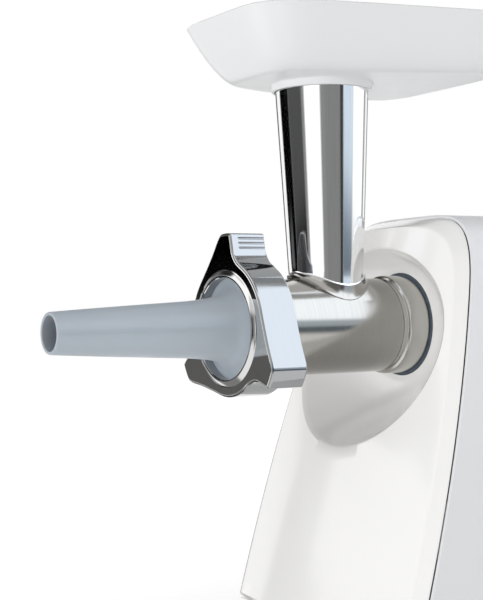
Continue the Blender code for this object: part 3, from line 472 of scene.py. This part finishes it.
def rear_shell():
    """An open-bottomed shell: an outer and an inner skin that meet at the seam and along the floor."""
    rings = []
    for inset, back in ((1.3, 0.35), (0.3, 0.35), (0.0, 0.65)):
        rings.append([(x, SEAM + LEAN * z + back, z) for x, z in arch(inset - PROUD)])
    for k in range(1, 13):
        ring = []
        for x, z in arch(-PROUD):
            first = SEAM + LEAN * z + 0.65
            ring.append((x, first + (BACK - BACK_ROUND - first) * k / 12, z))
        rings.append(ring)
    for k in range(1, 13):
        angle = math.pi / 2 * k / 12
        shrink = BACK_ROUND * (1 - math.cos(angle))
        depth = BACK - BACK_ROUND + BACK_ROUND * math.sin(angle)
        rings.append([(x, depth, z) for x, z in arch(shrink - PROUD)])
    ends = (0, len(rings[-1]) - 1)
    halfway = []
    for k, (x, y, z) in enumerate(rings[-1]):
        halfway.append((x * 0.5, y, z if k in ends else BOTTOM + (z - BOTTOM) * 0.5))
    rings.append(halfway)
    rings.append([(x * 0.02, y, BOTTOM + (z - BOTTOM) * 0.04) for x, y, z in halfway])
    outer = len(rings)
    for k in range(outer - 1, 2, -1):
        sides, height = (0.968, 0.985) if k < outer - 2 else (1.0, 1.0)
        ring = []
        for x, y, z in rings[k]:
            ring.append((x * sides, min(y, BACK - SHELL_WALL), BOTTOM + (z - BOTTOM) * height))
        rings.append(ring)
    verts, faces = loft(rings, closed=True, loop=False)
    count = len(rings[0])
    for end in (0, count - 1):
        faces.append(tuple(k * count + end for k in range(len(rings))))
    shell = make("rear_housing", verts, faces, rear_white, "base", ["rear_shell"])
    slots = []
    for k in range(-3, 4):
        slots.append(prism(stadium(k * VENT_PITCH, VENT_LOW, VENT_HIGH, 2.0), *BACK_CUT, "y"))
    slots.append(prism(circle(6.3, 32, GLAND), *BACK_CUT, "y"))
    slots.append(prism(stadium(BUTTON_DEPTH, REVERSE_Z - 1.0, POWER_Z + 1.0, 12.5, 32), 60.0, 95.0, "x"))
    boolean(shell, joined(*slots))
    smooth_by_angle(shell, 40)
    return shell


def circle(radius, count, centre=(0.0, 0.0)):
    angles = [math.tau * k / count for k in range(count)]
    return [(centre[0] + radius * math.cos(a), centre[1] + radius * math.sin(a)) for a in angles]


def stadium(u, low, high, radius, count=16):
    """A slot's outline with round ends."""
    points = []
    for end, first in ((high, 0.0), (low, math.pi)):
        for k in range(count + 1):
            angle = first + math.pi * k / count
            points.append((u + radius * math.cos(angle), end + radius * math.sin(angle)))
    return points


# ---------------------------------------------------------------- head, nut, nozzle and tray

# Feed tube: its middle's depth, rim height, radius there, taper and foot
TUBE_Y, TUBE_RIM = 61.65, 125.0
TUBE_RADIUS, TUBE_TAPER, TUBE_FOOT = 24.36, 0.0504, 26.0
TUBE_FLARE, FLARE_HEIGHT = 1.1, 1.3
TUBE_INSIDE = 1 - 1.9 / 22

# Barrel, its bayonet lugs, and the cast seat under the tube
BARREL_RADIUS = 25.05
LUG_ANGLES = (0.0, 120.0, 240.0)
LUG_FRONT, LUG_BACK = 119.6, 123.6
COLLAR_START = 93.4
SEAT_RISE, SEAT_SIDES, SEAT_REACH, SEAT_EDGE, SEAT_SUNK = 2.2, 3.4, 2.4, 0.9, 0.03

# Ring nut: its round part, where a lobe leaves it, and the lobes
NUT_RADIUS = 34.2
NUT_FEET = (47.0, -26.4)
LOBES = (90.0, 210.0, 330.0)
GRIP_GROOVES = ((-6.75, 44.7), (-7.3, 42.3), (-7.75, 39.9))
BEAD_OUTER = 28.9

# Nozzle's seam ridge, as (depth, nozzle's radius there)
RIDGE = ((-93.5, 10.05), (-60.0, 12.0), (-20.0, 14.1), (-9.0, 15.1), (-3.6, 16.6))

# Feed tray
TRAY_FRONT, TRAY_LENGTH, TRAY_RIM = -1.4, 167.8, 156.1
TRAY_HALF, TRAY_WIDENS = 47.6, 0.184
TRAY_FLOOR, TRAY_SLOPE, TRAY_TUCK = 126.2, 0.03, 21.6


def tube_radius(z):
    return TUBE_RADIUS - TUBE_TAPER * (TUBE_RIM - z)


def seat_rise(theta):
    """Height of the tube's seat over the barrel: low in front and behind, higher at the sides."""
    return SEAT_RISE + SEAT_SIDES * math.cos(theta) ** 2


def on_barrel(radius, theta):
    """Height of the barrel's surface under a circle round the tube."""
    return math.sqrt(BARREL_RADIUS**2 - (radius * math.cos(theta)) ** 2)


def shrunk(ring, share, drop=0.0):
    """A ring round the tube's middle, drawn in to a share of its size and lowered."""
    return [(x * share, TUBE_Y + (y - TUBE_Y) * share, z - drop) for x, y, z in ring]


def tube_seat(count=128):
    """The cast neck that rises from the barrel to the tube's foot, with a hollow curve outside."""
    radius = tube_radius(TUBE_FOOT)
    rings = []
    for k in range(9):
        angle = math.pi / 2 * k / 8
        ring = []
        for i in range(count):
            theta = math.tau * i / count
            reach = SEAT_REACH * (1 - 0.6 * math.cos(theta) ** 2)
            out = radius + SEAT_EDGE + reach * (1 - math.sin(angle))
            climb = (seat_rise(theta) + SEAT_SUNK) * (1 - math.cos(angle)) - SEAT_SUNK
            x, y = out * math.cos(theta), TUBE_Y + out * math.sin(theta)
            ring.append((x, y, on_barrel(out, theta) + climb))
        rings.append(ring)
    base, sunk = shrunk(rings[0], 0.5, 6.0), shrunk(rings[0], 0.96, 1.5)
    return loft([base, sunk] + rings + [shrunk(rings[8], share, 0.4) for share in (0.8, 0.4)])


def feed_tube():
    """The tapered tube, with a small flare where it meets its seat on the barrel."""
    count = 128
    rings = []
    for k in range(9):
        angle = math.pi / 2 * k / 8
        radius = tube_radius(TUBE_FOOT) + TUBE_FLARE * (1 - math.sin(angle))
        rise = FLARE_HEIGHT * (1 - math.cos(angle))
        ring = []
        for i in range(count):
            theta = math.tau * i / count
            foot = on_barrel(tube_radius(TUBE_FOOT) + TUBE_FLARE, theta) + seat_rise(theta)
            x, y = radius * math.cos(theta), TUBE_Y + radius * math.sin(theta)
            ring.append((x, y, foot + rise))
        rings.append(ring)
    foot_ring = rings[8]
    for k in range(1, 25):
        ring = []
        for i in range(count):
            theta = math.tau * i / count
            height = foot_ring[i][2] + (TUBE_RIM - foot_ring[i][2]) * k / 24
            radius = tube_radius(height)
            ring.append((radius * math.cos(theta), TUBE_Y + radius * math.sin(theta), height))
        rings.append(ring)
    inner = [shrunk(ring, TUBE_INSIDE) for ring in reversed(rings[8:])]
    skin = loft(rings + inner + [shrunk(rings[0], 0.9)], closed=True)
    return make("tube", *skin, chrome_tube, "head", ["feed_tube"], sharp=50)


def barrel():
    """The turned barrel with its collar, seat, throat and bayonet lugs."""
    profile = [(26.9, 8.4), (26.9, 20.4), (24.6, 20.6), (24.6, 92.2, 1.2), (24.1, 93.6)]
    profile += [(24.1, 96.0), (25.95, 96.7, 0.9), (25.95, 108.7, 0.6), (23.5, 108.8)]
    profile += [(23.5, 127.5), (20.0, 127.5), (20.0, 113.2), (11.1, 113.2)]
    profile += [(11.1, 108.0), (22.4, 105.4), (22.4, 13.4), (24.8, 13.4), (24.8, 8.4)]
    skin = spin(rounded(profile, 0.35, cyclic=True), count=144)
    body = make("barrel", *skin, barrel_satin, "head", ["grinder_barrel"])
    boolean(body, tube_seat(), "UNION")
    throat = [(0.01, 5.0), (16.9, 5.0), (16.9, 40.0), (0.01, 40.0)]
    boolean(body, spin(throat, "z", (0.0, TUBE_Y), 64, closed=False))
    lugs = [prism(sector(22.0, 26.4, angle, 9.4), LUG_FRONT, LUG_BACK, "y") for angle in LUG_ANGLES]
    boolean(body, joined(*lugs), "UNION")
    smooth_by_angle(body, 40)
    # The collar's faces take the lighter copy of the barrel's metal: painted sheen.
    body.data.materials.append(collar_satin_painted_sheen)
    for face in body.data.polygons:
        if face.center[1] > FRONT + COLLAR_START * MM:
            face.material_index = 1
    return body


def sector(low, high, middle, half, steps=8):
    """Part of a ring, as an outline."""
    points = []
    for radius, sign in ((high, 1), (low, -1)):
        for k in range(steps + 1):
            angle = math.radians(middle + sign * half * (2 * k / steps - 1))
            points.append((radius * math.cos(angle), radius * math.sin(angle)))
    return points


def bezier(start, bend, end, steps):
    start, bend, end = Vector(start), Vector(bend), Vector(end)
    shares = [step / steps for step in range(steps + 1)]
    return [start * (1 - t) ** 2 + bend * 2 * t * (1 - t) + end * t * t for t in shares]


def nut_point(turn, across, out):
    """A place on the front of a lobe, from its middle line."""
    x = out * math.cos(turn) - across * math.sin(turn)
    return Vector((x, out * math.sin(turn) + across * math.cos(turn)))


def nut_outline(inset=0.0):
    """Three lobes on a round body, each with a long slope on one side and a steep one on the other."""
    turns = [math.radians(foot) for foot in NUT_FEET]
    feet = [(NUT_RADIUS * math.sin(turn), NUT_RADIUS * math.cos(turn)) for turn in turns]
    lobe = bezier((-8.0, 38.6), (-9.2, 33.9), feet[1], 14)[::-1]
    tip = [(-7.3, 42.0), (-6.3, 47.1, 1.0), (-2.0, 47.5, 3.0)]
    tip += [(3.6, 47.2, 3.0), (6.6, 44.4, 2.0), (8.6, 41.9)]
    lobe += [Vector(p) for p in rounded(tip, 1.0, 6)]
    lobe += bezier(feet[0], (13.5, 35.2), (8.9, 41.5), 18)[::-1]
    full = []
    for middle in LOBES:
        turn = math.radians(middle)
        full += [nut_point(turn, *p) for p in lobe]
        for k in range(1, 16):
            angle = turn + math.radians(NUT_FEET[0] + (120.0 + NUT_FEET[1] - NUT_FEET[0]) * k / 16)
            full.append(Vector((NUT_RADIUS * math.cos(angle), NUT_RADIUS * math.sin(angle))))
    moved = []
    for i, p in enumerate(full):
        along = (full[(i + 1) % len(full)] - full[i - 1]).normalized()
        moved.append(p + Vector((-along[1], along[0])) * inset)
    return moved


def ring_nut():
    """The nut: a stepped front edge, a proud bead round its mouth and the threaded hollow behind."""

    def at(inset, y):
        return [(p[0], y, p[1]) for p in nut_outline(inset)]

    def bore(radius, y):
        units = [p.normalized() for p in nut_outline()]
        return [(unit[0] * radius, y, unit[1] * radius) for unit in units]

    rings = [at(0.0, 19.2), at(0.0, 18.9), at(0.0, 1.5), at(0.0, 1.2), at(0.1, 0.8)]
    rings += [at(0.45, 0.6), at(0.75, 0.62), at(0.85, 0.35), at(1.05, 0.1), at(1.3, 0.0), at(1.45, 0.0)]
    rings += [bore(29.5, 0.0), bore(29.3, 0.0), bore(29.05, 0.35), bore(28.7, 0.2), bore(28.4, 0.0)]
    rings += [bore(26.9, -1.1), bore(26.5, -1.25), bore(25.7, -1.2), bore(25.4, -0.8)]
    rings += [bore(25.4, 3.8), bore(27.6, 3.9)]
    rings += [bore(27.6, 19.6), bore(28.0, 20.0), at(0.8, 20.0), at(0.2, 19.8)]
    nut = make("nut", *loft(rings, closed=True), nut_side_painted_shade, "ring", ["ring_nut"])
    grooves = []
    for middle in LOBES:
        for across, out in GRIP_GROOVES:
            centre = nut_point(math.radians(middle), across, out)
            bar = [(0.01, 4.2), (0.4, 4.3), (0.62, 4.9), (0.62, 21.0), (0.01, 21.0)]
            grooves.append(spin(bar, "y", centre, 16, closed=False))
    boolean(nut, joined(*grooves))
    smooth_by_angle(nut, 32)
    # The face keeps the nut's own bright metal; the back, the bead and the sides take its darker copies,
    # which are painted shade.
    for surface in (nut_face, nut_back_painted_shade, nut_bead_painted_shade):
        nut.data.materials.append(surface)
    for face in nut.data.polygons:
        facing = face.normal[1]
        depth = face.center[1] - FRONT
        out = math.hypot(face.center[0], face.center[2] - AXIS)
        if facing < -0.9 and abs(depth) < 1.3 * MM and out > BEAD_OUTER * MM:
            face.material_index = 1
        elif facing > 0.9 and depth > (NUT_LENGTH - 0.1) * MM:
            face.material_index = 2
        elif facing < -0.5 and out < BEAD_OUTER * MM and depth < 0.3 * MM:
            face.material_index = 3
    return nut


def nozzle():
    """The filling nozzle: a flange in the nut, a taper and a fine moulding ridge along one side."""
    outer = [(27.0, 8.0), (27.0, 4.3), (24.3, 4.3, 1.0), (21.0, 2.9, 3.0), (17.4, -1.5, 4.0)]
    outer += [(15.4, -8.0, 6.0), (14.1, -20.0, 8.0), (12.6, -49.0, 10.0), (11.4, -71.5, 10.0)]
    outer += [(10.0, -94.6, 0.4), (9.7, -95.0, 0.3)]
    inner = [(8.6, -95.0, 0.3), (8.4, -94.5, 0.3), (9.9, -70.0, 8.0), (12.5, -20.0, 8.0)]
    inner += [(14.0, -6.0, 5.0), (17.6, 2.0, 5.0), (21.5, 8.0, 0.3)]
    skin = spin(rounded(outer + inner, 0.5, 6, cyclic=True), count=128)
    piece = make("nozzle", *skin, nozzle_blue, "nozzle", ["sausage_nozzle"])
    rings = []
    for y, radius in RIDGE:
        top, root = radius + 0.28, radius - 0.8
        rings.append([(top, y, -0.35), (top, y, 0.35), (root, y, 0.8), (root, y, -0.8)])
    boolean(piece, loft(rings), "UNION")
    smooth_by_angle(piece, 35)
    return piece


def tray_loop(inset, z, slope=0.0, count=160):
    """The tray's rounded outline, which widens to the back, drawn in by an inset."""
    ring = []
    for k in range(count):
        angle = math.tau * k / count
        reach = (TRAY_LENGTH / 2 - inset) * power(math.cos(angle), 2 / 5.4)
        y = TRAY_FRONT + TRAY_LENGTH / 2 - reach
        x = (TRAY_HALF + TRAY_WIDENS * y - inset) * power(math.sin(angle), 2 / 5.4)
        ring.append((x, y, z + slope * max(0.0, y - TUBE_Y)))
    return ring


def tray_wall(share, wall):
    """A ring of the tray's wall, from the rim at share 0 to the wall's foot at share 1."""
    depth = 1 - (1 - share) ** 1.55
    height = TRAY_RIM - (TRAY_RIM - TRAY_FLOOR - wall) * depth
    return tray_loop(wall * (1 - 0.5 * share) + TRAY_TUCK * share, height, TRAY_SLOPE * share)


def tray_round(radius, z, count=160):
    """A ring of the tray's collar, with as many points as its outline."""
    angles = [math.tau * k / count for k in range(count)]
    return [(radius * math.sin(a), TUBE_Y - radius * math.cos(a), z) for a in angles]


def feed_tray():
    """The dished tray with a rounded rim, and a collar over the tube."""
    steps = [k / 20 for k in range(21)]
    collar = ((28.5, 125.7), (26.9, 125.55), (26.4, 125.3), (26.25, 124.9), (26.2, 122.2), (25.8, 121.8))
    socket = ((24.76, 121.8), (24.76, 125.4), (22.6, 125.4), (22.6, 127.2), (23.1, 127.7), (28.5, 127.7))
    rings = [tray_loop(0.35, 156.0), tray_loop(0.05, 155.7)]
    rings += [tray_wall(share, 0.0) for share in steps[1:]]
    rings += [tray_loop(22.6, 126.05, TRAY_SLOPE)]
    rings += [tray_round(*step) for step in collar + socket]
    rings += [tray_loop(23.6, 128.25, TRAY_SLOPE)]
    rings += [tray_wall(share, 2.2) for share in reversed(steps)]
    rings += [tray_loop(1.8, 156.3), tray_loop(1.1, 156.35)]
    return make("tray", *loft(rings, closed=True), tray_white, "tray", ["feed_tray"], sharp=60)


def pusher():
    """The pusher: a plug in the tube, a flange that rests on the tray's floor and a waisted knob."""
    rest = 128.05
    profile = [(0.01, 32.0), (14.2, 32.0, 1.5), (16.4, 34.4), (16.4, rest), (27.0, rest)]
    profile += [(27.0, rest + 2.6, 1.2), (23.0, rest + 5.5, 3.0), (15.0, rest + 9.0, 4.0)]
    profile += [(12.0, rest + 13.0, 4.0), (13.6, rest + 19.5, 4.0), (11.0, rest + 23.5, 3.0)]
    profile += [(0.01, rest + 24.8)]
    skin = spin(rounded(profile, 0.5, 6), "z", (0.0, TUBE_Y), closed=False)
    return make("stomper", *skin, tray_white, "pusher", ["pusher"], sharp=50)


def seal():
    """The rubber ring in the socket's mouth."""
    profile = [(27.2, 109.1), (27.2, 111.2), (24.0, 111.2), (24.0, 109.1)]
    skin = spin(rounded(profile, 0.6, 5, cyclic=True), count=128)
    return make("seal", *skin, seal_rubber, "base", ["seal_ring"])


def side_button(name, node, z, radius):
    """A round button in the housing's side, with a dished face and a flange inside the wall."""
    face = half_width(z) + PROUD + 1.6
    profile = [(0.01, 61.0), (radius - 2.0, 61.0), (radius + 1.2, 61.2), (radius + 1.2, 63.4)]
    profile += [(radius, 63.6), (radius, face - 0.6, 0.8), (radius - 2.6, face, 2.0)]
    profile += [(radius - 4.0, face - 0.5, 2.0), (0.01, face - 0.7)]
    skin = spin(rounded(profile, 0.3, 5), "x", (BUTTON_DEPTH, z), 64, closed=False)
    return make(name, *skin, tray_white, node, [node], sharp=50)


def release_cap():
    """The button that frees the head, proud of the front face."""
    front = face_at(RELEASE[0] + 2.0, RELEASE[1]) - 2.2
    profile = [(0.01, front + 0.3), (4.5, front, 2.0), (7.5, front + 0.5, 1.2)]
    profile += [(7.5, 116.0), (0.01, 116.0)]
    skin = spin(rounded(profile, 0.4, 6), "y", RELEASE, 64, closed=False)
    return make("release_cap", *skin, gloss_white, "release", ["release_button"], sharp=50)


def gland():
    """The cord's rubber gland, with a groove that the rear wall sits in."""
    profile = [(3.8, 227.0), (8.0, 227.0), (8.0, 232.1), (5.8, 232.1), (5.8, 235.4)]
    profile += [(8.6, 235.4), (8.6, 236.6, 0.6), (6.4, 237.4), (3.8, 237.5)]
    skin = spin(rounded(profile, 0.3, 4, cyclic=True), "y", GLAND, 64)
    return make("gland", *skin, foot_rubber, "base", ["cord_gland"], sharp=50)


front_shell()
rear_shell()
feed_tube()
barrel()
ring_nut()
nozzle()
feed_tray()
pusher()
seal()
side_button("power_cap", "power_button", POWER_Z, 9.0)
side_button("reverse_cap", "reverse_button", REVERSE_Z, 7.0)
release_cap()
gland()


# ---------------------------------------------------------------- studio


CAMERA_PLACE = (610.402, -364.441, 4.819)
CAMERA_BACK = (0.85242, -0.52270, -0.01306)
CAMERA_AZIMUTH, CAMERA_ROLL = 58.484, -1.306
FLOOR_RADIUS, FLOOR_Z = 2.5, -0.0005


def camera():
    """Stands to the right of the nozzle, level with the drive axis."""
    data = bpy.data.cameras.new("camera")
    data.lens = 85.875
    data.sensor_width = 36.0
    data.clip_start = 0.02
    made = bpy.data.objects.new("camera", data)
    bpy.context.scene.collection.objects.link(made)
    azimuth, roll = math.radians(CAMERA_AZIMUTH), math.radians(CAMERA_ROLL)
    back = Vector(CAMERA_BACK).normalized()
    right = Vector((math.cos(azimuth), math.sin(azimuth), 0.0))
    up = back.cross(right)
    across = right * math.cos(roll) + up * math.sin(roll)
    above = up * math.cos(roll) - right * math.sin(roll)
    turn = Matrix((across, above, back)).transposed().to_4x4()
    made.matrix_world = Matrix.Translation(point(*CAMERA_PLACE)) @ turn
    bpy.context.scene.camera = made


def floor():
    """A pale disc under the feet, brighter to the camera than to the light it scatters."""
    verts = [(x, y, FLOOR_Z) for x, y in circle(FLOOR_RADIUS, 96)]
    mesh = bpy.data.meshes.new("floor")
    mesh.from_pydata(verts, [], [tuple(range(96))])
    made = Surface("floor", (0.7, 0.7, 0.69), 0.6)
    made.set("Specular IOR Level", 0.0)
    made.set("Emission Color", (1.0, 1.0, 1.0, 1.0))
    path = made.tree.nodes.new("ShaderNodeLightPath")
    glow = made.tree.nodes.new("ShaderNodeMapRange")
    glow.inputs["To Min"].default_value = 0.26
    glow.inputs["To Max"].default_value = 0.5
    made.link(path.outputs["Is Camera Ray"], glow.inputs["Value"])
    made.link(glow.outputs["Result"], made.shader.inputs["Emission Strength"])
    mesh.materials.append(made.material)
    piece = bpy.data.objects.new("floor", mesh)
    bpy.context.scene.collection.objects.link(piece)
    piece.visible_glossy = False


# Studio panels: azimuth from and to, elevation from and to, edge softness (all in degrees), and
# brightness or colour. A later panel covers an earlier one. Mirrored rays see the first list and
# scattered light the second, so the metals' bands and the plastics' shading are set apart.
MIRRORED = [
    (-180, 180, -90, 14, 8, 0.28),
    (100, 215, -90, 20, 6, 1.1),
    (120, 138, -90, 20, 4, 0.3),
    (154, 174, -90, 20, 4, 0.12),
    (-163, -128, -90, 9.5, 2, 0.0),
    (-155, -141, -90, 0.5, 2, 0.12),
    (-127, -88, -90, 9.5, 2, 0.085),
    (-127, -88, -90, -0.8, 3, 0.006),
    (-80, -40, -90, 20, 5, 1.3),
    (-28, 12, -90, 20, 5, 0.25),
    (11, 20, -90, 20, 3, 0.04),
    (20, 50, -90, 12, 4, (0.75, 0.86, 0.97)),
    (50, 94, -90, 12, 3, 1.3),
    (20, 50, -90, 0, 5, (0.17, 0.21, 0.25)),
    (50, 94, -90, -1, 5, 0.5),
    (96, 104, -90, 12, 3, 0.4),
    (-146, -96, 9.5, 40, 2, 1.7),
    (-200, -147, 9.5, 40, 2, 0.25),
    (10, 100, 12, 54, 7, (2.25, 2.41, 2.62)),
    (-180, 180, 58, 91, 10, 0.38),
    (104, 215, 24, 64, 10, 0.03),
    (-180, 180, -91, -12, 10, 1.3),
    (60, 150, -91, -45, 14, 0.95),
    (-172, -134, -91, -12, 8, 0.3),
    (-84, -66, -91, -12, 5, 0.12),
    (-22, 12, -91, -12, 8, 0.35),
    (112, 130, -28, -8, 5, 0.15),
    (154, 172, -91, -8, 5, 0.1),
]
DIFFUSED = [
    (-180, 180, -91, 91, 1, 0.46),
    (-20, 120, -91, 91, 60, 1.12),
    (150, 250, -91, 91, 50, 0.36),
    (-180, 180, 45, 91, 30, 0.75),
]


class World:
    """A studio drawn round the object, in panels on a sphere that the camera sees as white."""

    def __init__(self):
        self.world = bpy.data.worlds.new("studio")
        bpy.context.scene.world = self.world
        self.world.use_nodes = True
        self.tree = self.world.node_tree
        place = self.tree.nodes.new("ShaderNodeTexCoord")
        split = self.tree.nodes.new("ShaderNodeSeparateXYZ")
        self.tree.links.new(place.outputs["Generated"], split.inputs["Vector"])
        self.azimuth = self.math("ARCTAN2", split.outputs["Y"], split.outputs["X"])
        self.elevation = self.math("ARCSINE", split.outputs["Z"])
        path = self.tree.nodes.new("ShaderNodeLightPath")
        scattered = self.math("GREATER_THAN", path.outputs["Diffuse Depth"], 0.5)
        lit = self.mix(scattered, self.panels(MIRRORED), self.panels(DIFFUSED))
        seen = self.mix(path.outputs["Is Camera Ray"], lit, 1.0)
        self.tree.links.new(seen, self.tree.nodes["Background"].inputs["Color"])

    def math(self, operation, *values):
        node = self.tree.nodes.new("ShaderNodeMath")
        node.operation = operation
        for socket, value in zip(node.inputs, values):
            self.connect(socket, value)
        return node.outputs[0]

    def connect(self, socket, value):
        if isinstance(value, bpy.types.NodeSocket):
            self.tree.links.new(value, socket)
        elif socket.type == "RGBA":
            rgb = value if isinstance(value, tuple) else (value, value, value)
            socket.default_value = (*rgb, 1.0)
        else:
            socket.default_value = value

    def mix(self, factor, first, second):
        node = self.tree.nodes.new("ShaderNodeMix")
        node.data_type = "RGBA"
        sockets = {socket.identifier: socket for socket in node.inputs}
        self.connect(sockets["Factor_Float"], factor)
        self.connect(sockets["A_Color"], first)
        self.connect(sockets["B_Color"], second)
        return [socket for socket in node.outputs if socket.type == "RGBA"][0]

    def within(self, angle, low, high, softness, turns):
        """1 between two angles, falling to 0 outside them over a soft edge."""
        offset = self.math("SUBTRACT", angle, math.radians((low + high) / 2))
        if turns:
            offset = self.math("WRAP", offset, math.pi, -math.pi)
        offset = self.math("ABSOLUTE", offset)
        half = math.radians((high - low) / 2)
        node = self.tree.nodes.new("ShaderNodeMapRange")
        node.interpolation_type = "SMOOTHSTEP"
        node.inputs["From Min"].default_value = half + math.radians(softness / 2)
        node.inputs["From Max"].default_value = half - math.radians(softness / 2)
        self.tree.links.new(offset, node.inputs["Value"])
        return node.outputs["Result"]

    def panels(self, rows):
        colour = 1.0
        for az_low, az_high, el_low, el_high, softness, value in rows:
            mask = self.within(self.elevation, el_low, el_high, softness, False)
            if az_high - az_low < 360:
                across = self.within(self.azimuth, az_low, az_high, softness, True)
                mask = self.math("MULTIPLY", mask, across)
            colour = self.mix(mask, colour, value)
        return colour


def lamp(name, azimuth, elevation, strength, spread, shadow):
    """A distant soft light that comes from a direction and isn't mirrored in the metal."""
    data = bpy.data.lights.new(name, "SUN")
    data.energy = strength
    data.angle = math.radians(spread)
    data.use_shadow = shadow
    made = bpy.data.objects.new(name, data)
    bpy.context.scene.collection.objects.link(made)
    az, el = math.radians(azimuth), math.radians(elevation)
    towards = Vector((math.cos(az) * math.cos(el), math.sin(az) * math.cos(el), math.sin(el)))
    made.rotation_euler = towards.to_track_quat("Z", "Y").to_euler()
    made.visible_glossy = False


camera()
floor()
World()
lamp("front_fill", -90, -8, 1.22, 20, False)
lamp("front_key", -85, 10, 0.15, 45, True)

bpy.context.scene.view_settings.view_transform = "Standard"
